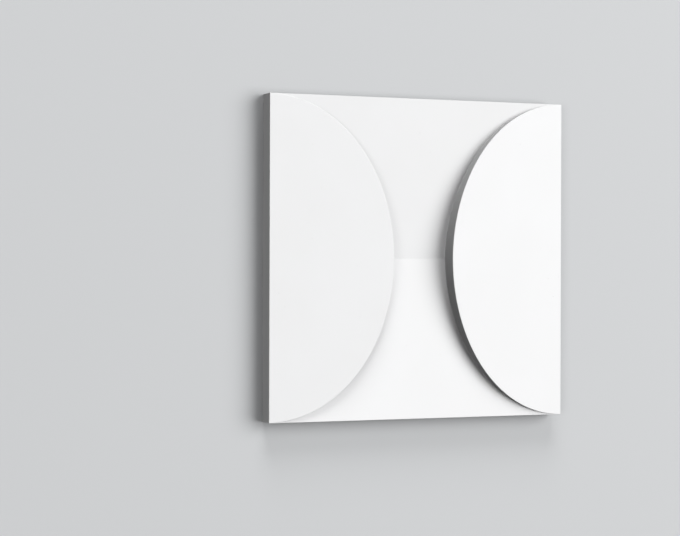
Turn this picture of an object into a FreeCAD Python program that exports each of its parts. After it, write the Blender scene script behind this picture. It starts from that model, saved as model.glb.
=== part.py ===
"""A square relief tile for walls, moulded in one piece from rigid white foam.

The tile lies on its flat back, with the decorated face up. Two half discs stand up from a folded ground,
each with its straight side along a side edge of the tile. A disc's face is flat, and slopes up from the
side edge to the disc's tip. The ground is a shallow valley: it starts level with the top and bottom edges
and falls to a crease at mid-height. The discs' rims run out into the four corners, where the step down to
the ground fades to nothing, so that the pattern carries on over tiles laid edge to edge.

X runs along the tile's width, Y along its height as hung, and Z out of the wall. The origin is at the
centre of the back. All sizes are in millimetres.
"""
import FreeCAD, Part

import math
import os

import Sketcher
from FreeCAD import Vector

NODE = "relief_tile"

# Driving sizes: alias, value, meaning
SIZES = [
    ("tile_width", 333.0, "left edge to right edge; three tiles cover a metre"),
    ("tile_height", 333.0, "bottom edge to top edge"),
    ("edge_depth", 20.0, "thickness all round the tile's outer edge"),
    ("disc_reach", 133.0, "side edge to the tip of its half disc"),
    ("disc_rise", 9.0, "how far a disc's face rises from the side edge to its tip"),
    ("crease_depth", 9.5, "thickness at the crease of the ground, the tile's thinnest place"),
    ("rim_easing", 0.5, "width of the flat that takes the sharpness off a disc's rim"),
]

# A sketch counts the points of a line or an arc from 1, and its own axes down from -1
START, END, CENTRE = range(1, 4)
X_AXIS, Y_AXIS = range(-1, -3, -1)
ORIGIN = (X_AXIS, START)


def make_sheet(doc):
    """The spreadsheet that holds the driving sizes, one row for each."""
    sheet = doc.addObject("Spreadsheet::Sheet", "sizes")
    for row, (alias, value, meaning) in enumerate(SIZES, start=1):
        sheet.set(f"A{row}", alias)
        sheet.set(f"B{row}", str(value))
        sheet.set(f"C{row}", meaning)
        sheet.setAlias(f"B{row}", alias)
    doc.recompute()


def origin_plane(body, role):
    """One of the body's own origin planes, such as XY_Plane."""
    return next(item for item in body.Origin.OriginFeatures if item.Role == role)


def new_sketch(body, name, role):
    """An empty sketch on one of the body's origin planes."""
    sketch = body.newObject("Sketcher::SketchObject", name)
    sketch.AttachmentSupport = [(origin_plane(body, role), "")]
    sketch.MapMode = "FlatFace"
    return sketch


def relate(sketch, kind, *where):
    """A constraint with no size of its own, such as Vertical or Coincident."""
    sketch.addConstraint(Sketcher.Constraint(kind, *where))


def dimension(sketch, kind, name, *where, expression):
    """A named distance whose size comes from the spreadsheet."""
    value = sketch.evalExpression(expression)
    index = sketch.addConstraint(Sketcher.Constraint(kind, *where, value))
    sketch.renameConstraint(index, name)
    sketch.setExpression(f"Constraints.{name}", expression)


def add_outline(sketch, corners):
    """A closed outline of straight lines, joined corner to corner."""
    count = len(corners)
    for index in range(count):
        sketch.addGeometry(Part.LineSegment(corners[index], corners[(index + 1) % count]), False)
    for index in range(count):
        relate(sketch, "Coincident", index, END, (index + 1) % count, START)


def half_disc_sketch(body, size):
    """The left half disc from the front: half an ellipse that touches two corners of the tile."""
    sketch = new_sketch(body, "half_disc_outline", "XY_Plane")
    half_height = size["tile_height"] / 2
    reach = size["disc_reach"]
    centre = Vector(-size["tile_width"] / 2, 0)
    upright = half_height > reach
    if upright:
        ellipse = Part.Ellipse(centre + Vector(0, half_height), centre - Vector(reach, 0), centre)
        arc = Part.ArcOfEllipse(ellipse, math.pi, 2 * math.pi)
    else:
        ellipse = Part.Ellipse(centre + Vector(reach, 0), centre + Vector(0, half_height), centre)
        arc = Part.ArcOfEllipse(ellipse, -math.pi / 2, math.pi / 2)
    rim = sketch.addGeometry(arc, False)
    side = sketch.addGeometry(Part.LineSegment(arc.EndPoint, arc.StartPoint), False)
    sketch.exposeInternalGeometry(rim)
    major, minor = side + 1, side + 2
    across = minor if upright else major
    relate(sketch, "Coincident", rim, END, side, START)
    relate(sketch, "Coincident", side, END, rim, START)
    relate(sketch, "Vertical", side)
    relate(sketch, "Horizontal", across)
    relate(sketch, "PointOnObject", rim, CENTRE, side)
    relate(sketch, "PointOnObject", rim, CENTRE, X_AXIS)
    dimension(sketch, "DistanceX", "side", rim, CENTRE, *ORIGIN, expression="sizes.tile_width / 2")
    dimension(sketch, "DistanceY", "height", rim, START, rim, END, expression="sizes.tile_height")
    line = sketch.Geometry[across]
    left, right = (START, END) if line.StartPoint.x < line.EndPoint.x else (END, START)
    dimension(sketch, "DistanceX", "reach", across, left, across, right, expression="2 * sizes.disc_reach")
    return sketch


def slope_sketch(body, size):
    """What the slope takes off the half disc, from the side: all above a line from side edge to tip.

    The cutting outline runs past the disc at both ends, and above it, by the rise of the face.
    """
    sketch = new_sketch(body, "slope_outline", "XZ_Plane")
    rise = size["disc_rise"]
    low = Vector(-size["tile_width"] / 2, size["edge_depth"])
    high = low + Vector(size["disc_reach"], rise)
    top = high.y + 2 * rise
    corners = [low - Vector(rise, 0), high + Vector(rise, 0)]
    corners += [Vector(corners[1].x, top), Vector(corners[0].x, top)]
    add_outline(sketch, corners)
    slope, right, roof, left = range(4)
    foot = sketch.addGeometry(Part.Point(low), True)
    head = sketch.addGeometry(Part.Point(high), True)
    relate(sketch, "PointOnObject", foot, START, slope)
    relate(sketch, "PointOnObject", head, START, slope)
    relate(sketch, "Vertical", right)
    relate(sketch, "Horizontal", roof)
    relate(sketch, "Vertical", left)
    dimension(sketch, "DistanceX", "side", foot, START, *ORIGIN, expression="sizes.tile_width / 2")
    dimension(sketch, "DistanceY", "edge", *ORIGIN, foot, START, expression="sizes.edge_depth")
    dimension(sketch, "DistanceX", "reach", foot, START, head, START, expression="sizes.disc_reach")
    dimension(sketch, "DistanceY", "rise", foot, START, head, START, expression="sizes.disc_rise")
    dimension(sketch, "DistanceX", "before", slope, START, foot, START, expression="sizes.disc_rise")
    dimension(sketch, "DistanceX", "beyond", head, START, slope, END, expression="sizes.disc_rise")
    dimension(sketch, "DistanceY", "above", head, START, roof, START, expression="2 * sizes.disc_rise")
    return sketch


def ground_sketch(body, size):
    """The ground from the side: a block whose front is folded back along the crease at mid-height."""
    sketch = new_sketch(body, "ground_outline", "YZ_Plane")
    half_height = size["tile_height"] / 2
    edge = size["edge_depth"]
    add_outline(sketch, [
        Vector(-half_height, 0),
        Vector(half_height, 0),
        Vector(half_height, edge),
        Vector(0, size["crease_depth"]),
        Vector(-half_height, edge),
    ])
    back, top_edge, upper_fold, lower_fold, bottom_edge = range(5)
    relate(sketch, "Symmetric", back, START, back, END, *ORIGIN)
    relate(sketch, "Horizontal", back)
    relate(sketch, "Vertical", top_edge)
    relate(sketch, "Vertical", bottom_edge)
    relate(sketch, "Equal", top_edge, bottom_edge)
    relate(sketch, "PointOnObject", upper_fold, END, Y_AXIS)
    dimension(sketch, "DistanceX", "height", back, START, back, END, expression="sizes.tile_height")
    dimension(sketch, "DistanceY", "edge", top_edge, START, top_edge, END, expression="sizes.edge_depth")
    dimension(sketch, "DistanceY", "crease", *ORIGIN, upper_fold, END, expression="sizes.crease_depth")
    return sketch


def rim_edge(shape):
    """The name of the curved edge along the front of the half disc, the highest curve of its block."""
    curved = [
        (edge.BoundBox.ZMax, index)
        for index, edge in enumerate(shape.Edges, start=1)
        if not isinstance(edge.Curve, Part.Line)
    ]
    return f"Edge{max(curved)[1]}"


def check_change(doc, before, after, grows):
    """Stops the build if a feature left the solid as it was, as one that points the wrong way does."""
    doc.recompute()
    change = after.Shape.Volume - before.Shape.Volume
    if (change > 0) != grows or change == 0:
        raise RuntimeError(f"{after.Label} changed the volume by {change:.3f} mm3")


def make_tile(doc, size):
    """The whole tile: a sloped half disc, the ground under it, and the mirror image of both."""
    body = doc.addObject("PartDesign::Body", NODE)
    body.Label = NODE

    block = body.newObject("PartDesign::Pad", "disc_block")
    block.Profile = half_disc_sketch(body, size)
    block.setExpression("Length", "sizes.edge_depth + sizes.disc_rise")
    doc.recompute()

    slope = body.newObject("PartDesign::Pocket", "disc_slope")
    slope.Profile = slope_sketch(body, size)
    slope.Type = "ThroughAll"
    slope.SideType = "Symmetric"
    check_change(doc, block, slope, grows=False)

    rim = body.newObject("PartDesign::Chamfer", "rim_flat")
    rim.Base = (slope, [rim_edge(slope.Shape)])
    rim.setExpression("Size", "sizes.rim_easing")
    check_change(doc, slope, rim, grows=False)

    ground = body.newObject("PartDesign::Pad", "ground_half")
    ground.Profile = ground_sketch(body, size)
    ground.setExpression("Length", "sizes.tile_width / 2")
    ground.Reversed = True
    check_change(doc, rim, ground, grows=True)

    whole = body.newObject("PartDesign::Mirrored", "both_halves")
    whole.TransformMode = "Whole shape"
    whole.MirrorPlane = (origin_plane(body, "YZ_Plane"), [""])
    body.Tip = whole
    check_change(doc, ground, whole, grows=True)
    return body


def check_document(doc):
    """Stops the build if any object of the document has failed."""
    for item in doc.Objects:
        if "Invalid" in item.State or "Error" in item.State:
            raise RuntimeError(f"{item.Label} failed: {item.State}")


def check_solid(body):
    """Stops the build unless the sub-part is one closed, valid solid."""
    shape = body.Shape
    if shape.isNull() or not shape.isValid() or len(shape.Solids) != 1:
        raise RuntimeError(f"{body.Label} is not one valid solid")
    box = shape.optimalBoundingBox()
    print(f"{body.Label}: {box.XLength:.2f} x {box.YLength:.2f} x {box.ZLength:.2f} mm,"
          f" {shape.Volume / 1000:.1f} cm3, {len(shape.Faces)} faces")


def main():
    """Builds the document and writes the tile."""
    doc = FreeCAD.newDocument("relief_tile_model")
    size = {alias: value for alias, value, meaning in SIZES}
    make_sheet(doc)
    tile = make_tile(doc, size)
    doc.recompute()
    check_document(doc)
    check_solid(tile)
    os.makedirs("parts", exist_ok=True)
    tile.Shape.exportStep(f"parts/{tile.Label}.step")


main()
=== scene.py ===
# %% [markdown]
# A relief tile for walls: one white moulding with two half discs and a folded hourglass ground between.
# This lesson dresses the tile for its portrait. The imported model is loaded first, because the tile's width
# and height are read off it.

# %% Load the imported model
import math

import bpy
from mathutils import Euler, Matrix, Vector


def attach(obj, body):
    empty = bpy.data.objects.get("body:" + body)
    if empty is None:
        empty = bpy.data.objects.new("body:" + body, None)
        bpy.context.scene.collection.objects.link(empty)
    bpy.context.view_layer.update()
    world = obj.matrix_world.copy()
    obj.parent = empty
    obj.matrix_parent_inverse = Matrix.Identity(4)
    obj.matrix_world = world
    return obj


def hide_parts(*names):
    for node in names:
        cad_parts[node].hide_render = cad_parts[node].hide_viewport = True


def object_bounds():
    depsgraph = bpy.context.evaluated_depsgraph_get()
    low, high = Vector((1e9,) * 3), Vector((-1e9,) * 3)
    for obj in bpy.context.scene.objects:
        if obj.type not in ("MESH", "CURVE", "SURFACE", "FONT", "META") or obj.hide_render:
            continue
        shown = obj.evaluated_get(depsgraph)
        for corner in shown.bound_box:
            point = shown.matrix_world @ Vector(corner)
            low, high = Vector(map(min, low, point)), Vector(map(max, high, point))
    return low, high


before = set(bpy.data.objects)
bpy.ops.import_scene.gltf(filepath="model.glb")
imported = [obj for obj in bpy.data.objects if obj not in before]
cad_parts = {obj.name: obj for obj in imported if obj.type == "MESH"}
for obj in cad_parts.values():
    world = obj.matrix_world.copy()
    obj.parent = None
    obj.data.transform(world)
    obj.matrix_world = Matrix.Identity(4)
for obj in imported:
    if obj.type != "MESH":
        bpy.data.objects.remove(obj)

MM = 0.001
cad_low, cad_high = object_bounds()
tile_size = cad_high - cad_low
print("tile, width x height x depth in mm:", [round(length / MM, 2) for length in tile_size])

# %% [markdown]
# The relief's own sizes, in metres, with the same meaning as in the construction. Width and height come from
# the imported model, so the dressed tile can never be wider than the solid that it stands for. The rest could
# be measured from its mesh too, but a size with a name says what it is. The roundings are those of a
# moulding: no arris on the real tile is sharper than about a third of a millimetre.

# %% Sizes of the relief
TILE_WIDTH = tile_size.x
TILE_HEIGHT = tile_size.y
EDGE_DEPTH = 20 * MM
DISC_REACH = 133 * MM
DISC_RISE = 9 * MM
CREASE_DEPTH = 9.5 * MM
RIM_ROUNDING = 0.53 * MM
FOOT_ROUNDING = 0.4 * MM
OUTER_ROUNDING = 0.3 * MM
QUARTER_TURN = math.pi / 2
print("lip height at mid-height in mm:", round((EDGE_DEPTH + DISC_RISE - CREASE_DEPTH) / MM, 2))

# %% [markdown]
# Node trees are easier to read as sums than as boxes and noodles. A Wire is one output socket: adding or
# multiplying wires adds the Math nodes. A Board is the tree that they belong to, and its one method for any
# other node takes the node's type, its settings, and what goes into its sockets. Colours are blended by Mix
# nodes, because a Math node would turn them grey.

# %% Wires and boards
class Wire:
    """An output socket of a node tree, which can be used in a Python expression."""

    def __init__(self, board, socket):
        self.board = board
        self.socket = socket

    def __add__(self, other):
        return self.board.math("ADD", self, other)

    def __sub__(self, other):
        return self.board.math("SUBTRACT", self, other)

    def __rsub__(self, other):
        return self.board.math("SUBTRACT", other, self)

    def __mul__(self, other):
        return self.board.math("MULTIPLY", self, other)

    def __truediv__(self, other):
        return self.board.math("DIVIDE", self, other)

    def __rtruediv__(self, other):
        return self.board.math("DIVIDE", other, self)

    def __gt__(self, other):
        return self.board.math("GREATER_THAN", self, other)

    def __lt__(self, other):
        return self.board.math("LESS_THAN", self, other)

    __radd__ = __add__
    __rmul__ = __mul__


class Board:
    """A node tree with short ways to add to it."""

    def __init__(self, tree):
        self.tree = tree

    def add(self, kind, settings=None, values=None):
        """Adds a node, sets it up, and fills its sockets with numbers or wires."""
        node = self.tree.nodes.new(kind)
        for name, value in (settings or {}).items():
            setattr(node, name, value)
        for key, value in (values or {}).items():
            socket = self.socket(node.inputs, key)
            if isinstance(value, Wire):
                self.tree.links.new(value.socket, socket)
            else:
                socket.default_value = value
        return node

    @staticmethod
    def socket(sockets, key):
        """A socket by its number, or the first live one of that name."""
        if isinstance(key, int):
            return sockets[key]
        return next(socket for socket in sockets if socket.name == key and socket.enabled)

    def wire(self, node, key=0):
        """One of a node's outputs, ready for sums."""
        return Wire(self, self.socket(node.outputs, key))

    def get(self, kind, settings=None, values=None, output=0):
        """Adds a node and hands back one of its outputs."""
        return self.wire(self.add(kind, settings, values), output)

    def math(self, operation, *numbers):
        """Adds a Math node."""
        return self.get("ShaderNodeMath", {"operation": operation}, dict(enumerate(numbers)))

    def blend(self, first, second, share):
        """Part of the way from one colour to another."""
        values = {"Factor": share, "A": first, "B": second}
        return self.get("ShaderNodeMix", {"data_type": "RGBA"}, values, "Result")


def mix(start, end, share):
    """Part of the way from one number to another."""
    return start + (end - start) * share


print("wires and boards are ready")

# %% [markdown]
# The front of the tile follows a rule, so Geometry Nodes draw it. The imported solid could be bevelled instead,
# but a bevel breaks up where the lip fades to nothing at the corners, and a rule doesn't. A grid is laid over
# the front with its columns numbered outwards from the middle. On each row, a column's number says how far
# along the section it is: over the ground, round the lip's foot, up the lip, round its rim, over the disc.

# %% Columns and rows of the grid
GROUND_COLUMNS = 14
CORNER_STEPS = 3
LIP_COLUMNS = 2
DISC_COLUMNS = 14
HALF_ROWS = 80
STAGES = {}
half_columns = 0
for stage, count in (
    ("ground", GROUND_COLUMNS),
    ("foot", CORNER_STEPS),
    ("lip", LIP_COLUMNS),
    ("rim", CORNER_STEPS),
    ("disc", DISC_COLUMNS),
):
    STAGES[stage] = (half_columns, half_columns + count)
    half_columns += count
print("stages of the half section, in columns:", STAGES)

# %% [markdown]
# The tree's inputs are the sizes above. Making them inputs, not numbers inside the tree, lets someone reuse
# the tree for a tile of another size.

# %% A tree with named sizes
SIZE_INPUTS = {
    "Tile width": TILE_WIDTH,
    "Tile height": TILE_HEIGHT,
    "Edge depth": EDGE_DEPTH,
    "Disc reach": DISC_REACH,
    "Disc rise": DISC_RISE,
    "Crease depth": CREASE_DEPTH,
    "Rim rounding": RIM_ROUNDING,
    "Foot rounding": FOOT_ROUNDING,
    "Outer rounding": OUTER_ROUNDING,
}
relief_tree = bpy.data.node_groups.new("relief_tile_rule", "GeometryNodeTree")
for name in SIZE_INPUTS:
    relief_tree.interface.new_socket(name, in_out="INPUT", socket_type="NodeSocketFloat")
relief_tree.interface.new_socket("Finish", in_out="INPUT", socket_type="NodeSocketMaterial")
relief_tree.interface.new_socket("Geometry", in_out="OUTPUT", socket_type="NodeSocketGeometry")
relief = Board(relief_tree)
asked = relief.add("NodeGroupInput")
size = {name: relief.wire(asked, name) for name in SIZE_INPUTS}
print("inputs of the tree:", list(size))

# %% [markdown]
# One grid square is one unit, so a point's position is its column and row number, counted from the middle.
# The row number becomes an angle of the ellipse, which crowds the rows where the rim turns into the corners.
# Each stage of the section is a ramp from 0 to 1 over its own columns.

# %% Where each grid point is on the section
grid = relief.add(
    "GeometryNodeMeshGrid",
    None,
    {
        "Size X": 2.0 * half_columns,
        "Size Y": 2.0 * HALF_ROWS,
        "Vertices X": 2 * half_columns + 1,
        "Vertices Y": 2 * HALF_ROWS + 1,
    },
)
place = relief.get("GeometryNodeInputPosition")
split = relief.add("ShaderNodeSeparateXYZ", None, {"Vector": place})
column = relief.math("ABSOLUTE", relief.wire(split, "X"))
side = relief.math("SIGN", relief.wire(split, "X"))
turn = relief.wire(split, "Y") * (QUARTER_TURN / HALF_ROWS)


def ramp(stage, shape="LINEAR"):
    """0 before a stage of the section, 1 after it, and rising in between."""
    first, last = STAGES[stage]
    return relief.get(
        "ShaderNodeMapRange",
        {"interpolation_type": shape},
        {"Value": column, "From Min": float(first), "From Max": float(last)},
    )


over_ground = ramp("ground", "SMOOTHERSTEP")
round_foot = ramp("foot") * QUARTER_TURN
up_lip = ramp("lip")
round_rim = ramp("rim") * QUARTER_TURN
over_disc = ramp("disc", "SMOOTHERSTEP")
print("ramps made for", list(STAGES))

# %% [markdown]
# The rim is half an ellipse whose straight side lies on the tile's side edge. The roundings are measured
# along its outward direction, towards the ground. Neither takes more than a set share of the lip's height,
# which falls to nothing at the corners, so nothing folds over itself there.

# %% The rim and its roundings
SHARE_OF_LIP = 0.4
half_width = size["Tile width"] / 2
half_height = size["Tile height"] / 2
cosine = relief.math("COSINE", turn)
sine = relief.math("SINE", turn)
rim_x = half_width - size["Disc reach"] * cosine
rim_y = half_height * sine
lean_x = half_height * cosine
lean_y = size["Disc reach"] * sine
lean = relief.math("SQRT", lean_x * lean_x + lean_y * lean_y)
out_x = lean_x / lean * -1.0
out_y = lean_y / lean


def ground_level(y):
    """Height of the folded ground at a place up or down the tile."""
    fold = (size["Edge depth"] - size["Crease depth"]) / half_height
    return size["Crease depth"] + relief.math("ABSOLUTE", y) * fold


def disc_level(x):
    """Height of the disc's sloped face at a distance from the tile's middle line."""
    return size["Edge depth"] + (half_width - x) * (size["Disc rise"] / size["Disc reach"])


lip = disc_level(rim_x) - ground_level(rim_y)
strip = half_height - relief.math("ABSOLUTE", rim_y)
rim_radius = relief.math("MINIMUM", size["Rim rounding"], lip * SHARE_OF_LIP)
foot_limit = relief.math("MINIMUM", lip * SHARE_OF_LIP, strip / 2)
foot_radius = relief.math("MINIMUM", size["Foot rounding"], foot_limit)
print("roundings in mm, rim and foot:", round(RIM_ROUNDING / MM, 2), round(FOOT_ROUNDING / MM, 2))

# %% [markdown]
# Now the point itself. Its distance from the lip's upright wall goes from the foot's radius to zero, stays
# there up the lip, and then runs back by the rim's radius. Its height is read off the ground or the disc, so
# both stay true planes whatever the roundings do.

# %% From grid to relief
WELD = 0.001 * MM
off_wall = foot_radius * (1 - relief.math("SINE", round_foot)) - rim_radius * (
    1 - relief.math("COSINE", round_rim)
)
wall_x = rim_x + out_x * off_wall
wall_y = rim_y + out_y * off_wall
x = mix(wall_x * over_ground, half_width, over_disc)
y = mix(mix(rim_y, wall_y, over_ground), rim_y, over_disc)
low = ground_level(y) + foot_radius * (1 - relief.math("COSINE", round_foot))
high = disc_level(x) - rim_radius * (1 - relief.math("SINE", round_rim))
z = mix(low, high, up_lip)
inset_x = (half_width - size["Outer rounding"]) / half_width
inset_y = (half_height - size["Outer rounding"]) / half_height
front_place = relief.get("ShaderNodeCombineXYZ", None, {"X": x * side * inset_x, "Y": y * inset_y, "Z": z})
front = relief.get(
    "GeometryNodeSetPosition", None, {"Geometry": relief.wire(grid, "Mesh"), "Position": front_place}
)
front = relief.get("GeometryNodeMergeByDistance", None, {"Geometry": front, "Distance": WELD})
print("the front is drawn, and its corner points are welded within", WELD / MM, "mm")

# %% [markdown]
# The front sheet is now given its thickness by drawing its outline outwards and down, a ring at a time: round
# the outer arris, down the side face, and round the back arris. A ring starts as a copy of the one before,
# and each of its points then moves outwards and down. A point on the left edge moves outwards only to the
# left, and a point at a corner both ways.

# %% Round the edge and down to the back
def on_outline(axis, half_length):
    """Which way is outwards along X or Y: -1 or 1 on that edge of the outline, and 0 elsewhere."""
    along = relief.wire(relief.add("ShaderNodeSeparateXYZ", None, {"Vector": place}), axis)
    reach = half_length - size["Outer rounding"] - WELD * 2
    return relief.math("SIGN", along) * (relief.math("ABSOLUTE", along) > reach)


outwards_x = on_outline("X", half_width)
outwards_y = on_outline("Y", half_height)
neighbours = relief.add("GeometryNodeInputMeshEdgeNeighbors")
open_edge = relief.wire(neighbours, "Face Count") < 2


def draw_ring(mesh, edges, outwards, upwards):
    """Extrudes the outline by one ring and moves the ring outwards and upwards."""
    ring = relief.add(
        "GeometryNodeExtrudeMesh",
        {"mode": "EDGES"},
        {"Mesh": mesh, "Selection": edges, "Offset Scale": 0.0},
    )
    step = relief.get(
        "ShaderNodeCombineXYZ",
        None,
        {"X": outwards_x * outwards, "Y": outwards_y * outwards, "Z": upwards},
    )
    moved = relief.get(
        "GeometryNodeSetPosition",
        None,
        {"Geometry": relief.wire(ring, "Mesh"), "Selection": relief.wire(ring, "Top"), "Offset": step},
    )
    return moved, relief.wire(ring, "Top")


def corner_steps():
    """Sine and cosine steps of a quarter turn."""
    for index in range(CORNER_STEPS):
        now = QUARTER_TURN * index / CORNER_STEPS
        then = QUARTER_TURN * (index + 1) / CORNER_STEPS
        yield math.sin(then) - math.sin(now), math.cos(now) - math.cos(then)


rounding = size["Outer rounding"]
body, edges = front, open_edge
for sine_step, cosine_step in corner_steps():
    body, edges = draw_ring(body, edges, rounding * sine_step, rounding * -cosine_step)
side_depth = size["Edge depth"] - rounding * 2
body, edges = draw_ring(body, edges, 0.0, side_depth * -1.0)
for sine_step, cosine_step in corner_steps():
    body, edges = draw_ring(body, edges, rounding * -cosine_step, rounding * -sine_step)
print("rings drawn:", 2 * CORNER_STEPS + 1)

# %% [markdown]
# The last ring lies on the back. A fan of triangles to its middle closes it. Then edges that turn by more
# than a few degrees are kept sharp, so that the crease stays crisp while the long curve of the lip is smooth.

# %% Close the back and set what is sharp
SHARP_ANGLE = math.radians(5)
fan = relief.add(
    "GeometryNodeExtrudeMesh", {"mode": "EDGES"}, {"Mesh": body, "Selection": edges, "Offset Scale": 0.0}
)
centre = relief.get("ShaderNodeCombineXYZ", None, {"X": 0.0, "Y": 0.0, "Z": 0.0})
middle = relief.get(
    "GeometryNodeSetPosition",
    None,
    {"Geometry": relief.wire(fan, "Mesh"), "Selection": relief.wire(fan, "Top"), "Position": centre},
)
closed = relief.get("GeometryNodeMergeByDistance", None, {"Geometry": middle, "Distance": WELD})
soft_edge = relief.get("GeometryNodeInputMeshEdgeAngle") < SHARP_ANGLE
smooth = relief.get(
    "GeometryNodeSetShadeSmooth", {"domain": "FACE"}, {"Geometry": closed, "Shade Smooth": True}
)
creased = relief.get(
    "GeometryNodeSetShadeSmooth", {"domain": "EDGE"}, {"Geometry": smooth, "Shade Smooth": soft_edge}
)
whole = relief.get("GeometryNodeRealizeInstances", None, {"Geometry": creased})
dressed = relief.get(
    "GeometryNodeSetMaterial", None, {"Geometry": whole, "Material": relief.wire(asked, "Finish")}
)
relief.add("NodeGroupOutput", None, {"Geometry": dressed})
print("nodes in the tree:", len(relief_tree.nodes))

# %% [markdown]
# The finish has three parts. The face is sprayed with a matt white primer, the side faces are trimmed before
# they are sprayed, and the back is left as bare, sanded foam. They are one moulding, so one material covers
# them all, and masks say where each part is. Patterns are laid out in millimetres from Object coordinates.

# %% Where on the tile
BACK_UP_TO = (0.05, 0.3)  # millimetres above the back, over which its finish fades out
SIDE_FROM = (-0.25, -0.05)  # millimetres from a side face, over which its finish fades in
finish = bpy.data.materials.new("white_primer_on_foam")
finish.use_nodes = True
finish.node_tree.nodes.clear()
paint = Board(finish.node_tree)


def scaled(vector, factors):
    """A vector multiplied axis by axis."""
    return paint.get("ShaderNodeVectorMath", {"operation": "MULTIPLY"}, {0: vector, 1: factors}, "Vector")


def fade(value, limits):
    """0 below the first limit, 1 past the second, and smooth in between."""
    values = {"Value": value, "From Min": limits[0], "From Max": limits[1]}
    return paint.get("ShaderNodeMapRange", {"interpolation_type": "SMOOTHSTEP"}, values)


place_mm = scaled(paint.get("ShaderNodeTexCoord", output="Object"), (1 / MM, 1 / MM, 1 / MM))
split_mm = paint.add("ShaderNodeSeparateXYZ", None, {"Vector": place_mm})
across = paint.math("ABSOLUTE", paint.wire(split_mm, "X"))
along = paint.math("ABSOLUTE", paint.wire(split_mm, "Y"))
height_mm = paint.wire(split_mm, "Z")
on_back = 1 - fade(height_mm, BACK_UP_TO)
to_side = paint.math("MAXIMUM", across - TILE_WIDTH / 2 / MM, along - TILE_HEIGHT / 2 / MM)
on_side = fade(to_side, SIDE_FROM) * (1 - on_back)
print("masks are ready for a face", round(TILE_WIDTH / MM, 1), "mm wide")

# %% [markdown]
# Foam is full of bubbles. The moulded skin and the primer close nearly all of them, so the face shows only a
# few pinholes, while the sanded back cuts through many. A Voronoi texture gives each cell of space one
# bubble: where the surface passes within its radius there is a pit. A random number for each cell says which
# ones are open. A pit's wall rises between two radii, in millimetres for a bubble, and in shares of the
# spacing for a pore.

# %% Bubbles
BUBBLE_SPACING = 3.2
BUBBLE_WALL = (0.204, 0.34)
OPEN_SHARE_FACE = 0.02
OPEN_SHARE_SIDE = 0.10
PORE_SPACING = 0.9
PORE_WALL = (0.16, 0.34)
bubble = paint.add("ShaderNodeTexVoronoi", None, {"Vector": place_mm, "Scale": 1 / BUBBLE_SPACING})
lottery = paint.get("ShaderNodeSeparateColor", None, {"Color": paint.wire(bubble, "Color")}, "Red")
open_share = on_side * (OPEN_SHARE_SIDE - OPEN_SHARE_FACE) + OPEN_SHARE_FACE
inside = 1 - fade(paint.wire(bubble, "Distance") * BUBBLE_SPACING, BUBBLE_WALL)
pinhole = inside * (lottery < open_share) * (1 - on_back)
pore = paint.add("ShaderNodeTexVoronoi", None, {"Vector": place_mm, "Scale": 1 / PORE_SPACING})
cut_pore = (1 - fade(paint.wire(pore, "Distance"), PORE_WALL)) * on_back
print("bubbles every", BUBBLE_SPACING, "mm, and on the back every", PORE_SPACING, "mm")

# %% [markdown]
# Sprayed primer dries to a faint orange peel, with a fine grain of its pigment over it. The trimmed side
# faces keep the marks of the saw, which run up and down, and the back keeps sanding marks, which run across
# it. Each of these is a noise, stretched for the marks, and its strength is a real height in millimetres. The
# broadest noise, the clouds, is kept for the finish's colour and gloss.

# %% Grain of each part
FACE_PEEL_HEIGHT = 0.008
SIDE_PEEL_HEIGHT = 0.006
PIGMENT_HEIGHT = 0.0015
SAW_HEIGHT = 0.012
SANDING_HEIGHT = 0.008
PORE_DEPTH = 0.025
PINHOLE_DEPTH = 0.22
NOISE_DETAIL = 2.0


def noise(size_mm, stretch=(1.0, 1.0, 1.0)):
    """A noise from -1 to 1 with features of about this many millimetres, longer where it is stretched."""
    factors = tuple(1 / (size_mm * longer) for longer in stretch)
    values = {"Vector": scaled(place_mm, factors), "Scale": 1.0, "Detail": NOISE_DETAIL}
    return paint.get("ShaderNodeTexNoise", None, values, "Fac") * 2.0 - 1.0


orange_peel = noise(size_mm=2.6)
pigment = noise(size_mm=0.35)
saw_marks = noise(size_mm=0.7, stretch=(1.0, 1.0, 30.0))
sanding = noise(size_mm=1.1, stretch=(25.0, 1.0, 25.0))
clouds = noise(size_mm=70.0)
face_height = orange_peel * FACE_PEEL_HEIGHT + pigment * PIGMENT_HEIGHT
side_height = orange_peel * SIDE_PEEL_HEIGHT + saw_marks * SAW_HEIGHT
back_height = sanding * SANDING_HEIGHT - cut_pore * PORE_DEPTH
front_height = mix(face_height, side_height, on_side)
height = mix(front_height, back_height, on_back) - pinhole * PINHOLE_DEPTH
print("the saw's marks are the highest grain, up to", SAW_HEIGHT, "mm")

# %% [markdown]
# Four whites are mixed by those masks: the primer, a little cooler than grey, the primer where it is thin,
# the warmer bare foam, and the shade inside a pit. Large soft clouds vary the primer between the first two,
# which lie less than two parts in a hundred apart, as a second pass of the spray gun does. The primer is very
# matt, and the bare foam duller still.

# %% White primer on foam
PRIMER_WHITE = (0.88, 0.882, 0.888, 1.0)
PRIMER_THIN = (0.868, 0.869, 0.872, 1.0)
BARE_FOAM = (0.80, 0.785, 0.745, 1.0)
PIT_SHADE = (0.50, 0.495, 0.48, 1.0)
CLOUD_EDGES = (-0.5, 0.5)
PINHOLE_SHADE = 0.8
PORE_SHADE = 0.45
PRIMER_ROUGHNESS = 0.8
PEEL_ROUGHNESS = 0.03
CLOUD_ROUGHNESS = 0.02
FOAM_ROUGHNESS = 0.95
SPECULAR_LEVEL = 0.25
color = paint.blend(PRIMER_WHITE, PRIMER_THIN, fade(clouds, CLOUD_EDGES))
color = paint.blend(color, PRIMER_THIN, on_side)
color = paint.blend(color, BARE_FOAM, on_back)
color = paint.blend(color, PIT_SHADE, pinhole * PINHOLE_SHADE + cut_pore * PORE_SHADE)
primer_roughness = PRIMER_ROUGHNESS + orange_peel * PEEL_ROUGHNESS + clouds * CLOUD_ROUGHNESS
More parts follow.
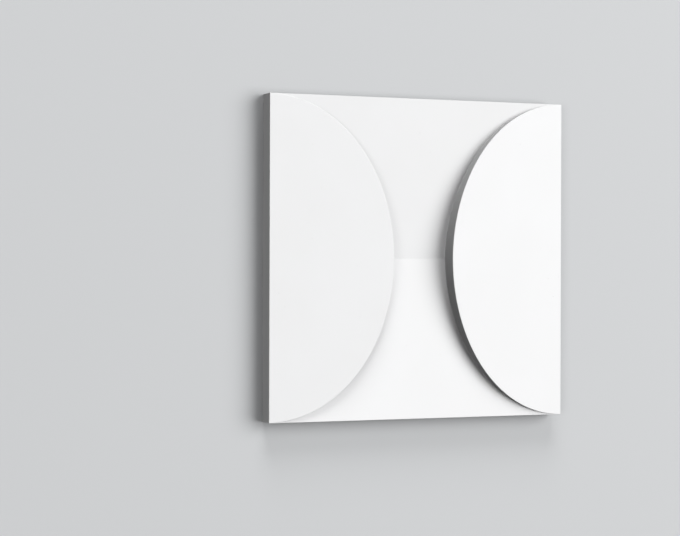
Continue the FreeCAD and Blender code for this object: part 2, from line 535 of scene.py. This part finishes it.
roughness = mix(primer_roughness, FOAM_ROUGHNESS, on_back)
bump = paint.get("ShaderNodeBump", None, {"Height": height, "Distance": MM}, "Normal")
shader = paint.add(
    "ShaderNodeBsdfPrincipled",
    None,
    {"Base Color": color, "Roughness": roughness, "Specular IOR Level": SPECULAR_LEVEL, "Normal": bump},
)
paint.add("ShaderNodeOutputMaterial", None, {"Surface": paint.wire(shader)})
print("nodes in the finish:", len(finish.node_tree.nodes))

# %% [markdown]
# The tree is put on an empty mesh and its inputs are set by their identifiers. The rule could stay there as a
# live modifier, but a plain mesh is what can be measured, ridden on a body and exported. So the evaluated
# result is copied to a mesh of its own, and the starter is thrown away.

# %% Make the tile
starter = bpy.data.objects.new("relief_rule", bpy.data.meshes.new("relief_rule"))
bpy.context.scene.collection.objects.link(starter)
modifier = starter.modifiers.new("relief", "NODES")
modifier.node_group = relief_tree
for item in relief_tree.interface.items_tree:
    if item.item_type == "SOCKET" and item.in_out == "INPUT":
        modifier[item.identifier] = SIZE_INPUTS.get(item.name, finish)
evaluated = starter.evaluated_get(bpy.context.evaluated_depsgraph_get())
tile_mesh = bpy.data.meshes.new_from_object(evaluated)
bpy.data.objects.remove(starter)
tile = bpy.data.objects.new("primed_relief_tile", tile_mesh)
bpy.context.scene.collection.objects.link(tile)
print("tile mesh:", len(tile_mesh.vertices), "points,", len(tile_mesh.polygons), "faces")
print("loose edges:", sum(1 for edge in tile_mesh.edges if edge.is_loose))

# %% [markdown]
# The real tile is one piece, so the dressed mesh rides on its one body and takes the place of the packed
# solid. The solid could be shown as it is, but its outer arrises are dead sharp and it has no finish.

# %% Ride on the body
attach(tile, "root")
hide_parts("relief_tile")
print("tile depth in mm:", round(tile.dimensions.z / MM, 3))

# %% [markdown]
# The floor is one plain, pale sheet. It shows the camera a pale grey that the white tile stands out from, and
# keeps the tile's shadow. A Light Path node tells it which kind of ray is asking, so that it can throw only a
# faint, even glow back on to the tile's side faces, as the floor of a dim room does. Hidden under the tile it
# has a square opening, so that the tile's back can be looked at from below. A floor that touched the back all
# over would fight with it for the same place.

# %% Floor finish
FLOOR_SEEN = (0.62, 0.63, 0.64, 1.0)
FLOOR_DARK = (0.05, 0.05, 0.05, 1.0)
FLOOR_GLOW = (0.07, 0.07, 0.07, 1.0)
NO_GLOW = (0.0, 0.0, 0.0, 1.0)
FLOOR_ROUGHNESS = 0.9
FLOOR_SPECULAR_LEVEL = 0.1


def seen_directly(board):
    """1 for rays from the camera, a mirror or glass, and 0 for rays that carry light."""
    rays = board.add("ShaderNodeLightPath")
    camera_ray, glossy_ray, transmission_ray = (
        board.wire(rays, f"Is {kind} Ray") for kind in ("Camera", "Glossy", "Transmission")
    )
    return board.math("MAXIMUM", camera_ray, board.math("MAXIMUM", glossy_ray, transmission_ray))


floor_finish = bpy.data.materials.new("pale_floor")
floor_finish.use_nodes = True
floor_finish.node_tree.nodes.clear()
floor_paint = Board(floor_finish.node_tree)
seen = seen_directly(floor_paint)
floor_shader = floor_paint.get(
    "ShaderNodeBsdfPrincipled",
    None,
    {
        "Base Color": floor_paint.blend(FLOOR_DARK, FLOOR_SEEN, seen),
        "Roughness": FLOOR_ROUGHNESS,
        "Specular IOR Level": FLOOR_SPECULAR_LEVEL,
        "Emission Color": floor_paint.blend(FLOOR_GLOW, NO_GLOW, seen),
        "Emission Strength": 1.0,
    },
)
floor_paint.add("ShaderNodeOutputMaterial", None, {"Surface": floor_shader})
print("nodes in the floor's finish:", len(floor_finish.node_tree.nodes))

# %% [markdown]
# The sheet is four strips round its square opening. They lie a hair below the tile's back and reach a little
# way under it, so that no gap shows from above.

# %% Floor sheet
FLOOR_SIZE = 5.0
FLOOR_LAP = 1 * MM
FLOOR_DROP = 0.02 * MM
opening = min(TILE_WIDTH, TILE_HEIGHT) / 2 - FLOOR_LAP
points = [
    Vector((half * right, half * up, -FLOOR_DROP))
    for half in (FLOOR_SIZE / 2, opening)
    for right, up in ((-1, -1), (1, -1), (1, 1), (-1, 1))
]
strips = [(start, end, end + 4, start + 4) for start, end in ((0, 1), (1, 2), (2, 3), (3, 0))]
floor_mesh = bpy.data.meshes.new("floor")
floor_mesh.from_pydata(points, [], strips)
floor_mesh.materials.append(floor_finish)
floor = bpy.data.objects.new("floor", floor_mesh)
bpy.context.scene.collection.objects.link(floor)
print("floor:", FLOOR_SIZE, "m square, with an opening of", round(2 * opening / MM, 1), "mm")

# %% [markdown]
# The camera stands to the left of the tile and looks down on it, from where the photograph was taken. Its
# place and angles come from fitting the tile's edges, as they are seen in the photograph, to the sizes above.
# It is turned in three steps, one after the other: round the tile's upright line, then up or down, and last
# about its own line of sight.

# %% Camera
PHOTO_WIDTH = 680
SENSOR_WIDTH = 36.0
FOCAL_LENGTH_PX = 1786.4
CAMERA_PLACE = (-0.77464, -0.00709, 1.71375)
CAMERA_YAW = math.radians(22.010)
CAMERA_PITCH = math.radians(0.085)
CAMERA_ROLL = math.radians(-0.177)
camera = bpy.data.objects.new("camera", bpy.data.cameras.new("camera"))
camera.data.sensor_width = SENSOR_WIDTH
camera.data.lens = FOCAL_LENGTH_PX * SENSOR_WIDTH / PHOTO_WIDTH
camera.location = CAMERA_PLACE
camera.rotation_mode = "ZXY"
camera.rotation_euler = (-CAMERA_PITCH, -CAMERA_YAW, -CAMERA_ROLL)
bpy.context.scene.collection.objects.link(camera)
bpy.context.scene.camera = camera
print("lens in mm:", round(camera.data.lens, 1))

# %% [markdown]
# Three round softboxes light the tile. The key is wide and stands high on the right, so its shadows have soft
# edges. The top lamp shines along the tile from beyond its top edge and brings out the crease. The left lamp
# is weak, and shades the ground beside the left disc's lip. A sun or a point lamp would be simpler, but its
# shadows would be hard. The lamps stand far off, so that the light is even from edge to edge. Each is placed
# by its heading and height as seen from the tile, and its spread is half its width as seen from there.

# %% Lights
LAMP_DISTANCE = 10.0
LAMPS = {
    "key": {"heading": 12, "height": 50, "spread": 26, "watts": 1165},
    "top": {"heading": 94, "height": 23, "spread": 14, "watts": 495},
    "left": {"heading": 182, "height": 50, "spread": 10, "watts": 132},
}


def softbox(name, heading, height, spread, watts):
    """A round lamp that faces the tile. Its heading, height and spread are in degrees."""
    lamp = bpy.data.objects.new(name, bpy.data.lights.new(name, "AREA"))
    lamp.data.shape = "DISK"
    lamp.data.size = 2 * LAMP_DISTANCE * math.tan(math.radians(spread))
    lamp.data.energy = watts
    aim = Euler((0.0, math.radians(90 - height), math.radians(heading)))
    lamp.rotation_euler = aim
    lamp.location = aim.to_matrix() @ Vector((0.0, 0.0, LAMP_DISTANCE))
    bpy.context.scene.collection.objects.link(lamp)


for name, setting in LAMPS.items():
    softbox(name, **setting)
print("lamps:", list(LAMPS), "at", LAMP_DISTANCE, "m")

# %% [markdown]
# The world is the light that comes from all round. Above the floor it is very faint, because the shade in the
# relief is deep. Below the floor it is bright, which only matters when the tile's back is looked at from
# below. The camera itself, and anything glossy, sees an even pale grey instead.

# %% World
FAINT = 0.02
BRIGHT = 0.8
PALE = 0.7
WHITE = (1.0, 1.0, 1.0, 1.0)
world = bpy.data.worlds.new("studio")
world.use_nodes = True
world.node_tree.nodes.clear()
sky = Board(world.node_tree)
direction = sky.get("ShaderNodeTexCoord", output="Generated")
below = sky.get("ShaderNodeSeparateXYZ", None, {"Vector": direction}, "Z") < 0.0
strength = mix(mix(FAINT, BRIGHT, below), PALE, seen_directly(sky))
light = sky.get("ShaderNodeBackground", None, {"Color": WHITE, "Strength": strength})
sky.add("ShaderNodeOutputWorld", None, {"Surface": light})
bpy.context.scene.world = world
print("world strength above and below the floor:", FAINT, "and", BRIGHT)

# %% [markdown]
# White is white here: the view transform is Standard. In the photograph the lips are nearly black although
# they face a white ground, so light that bounces from one face to another is left out.

# %% Plain view, no bounced light
scene = bpy.context.scene
scene.view_settings.view_transform = "Standard"
scene.cycles.diffuse_bounces = 0
print("view transform:", scene.view_settings.view_transform)

# %% [markdown]
# Last, the imported solid's box is printed. The dressed tile should never reach outside the solid.

# %% Finish
print("packed box in mm: ", [round(value / MM, 2) for value in (*cad_low, *cad_high)])
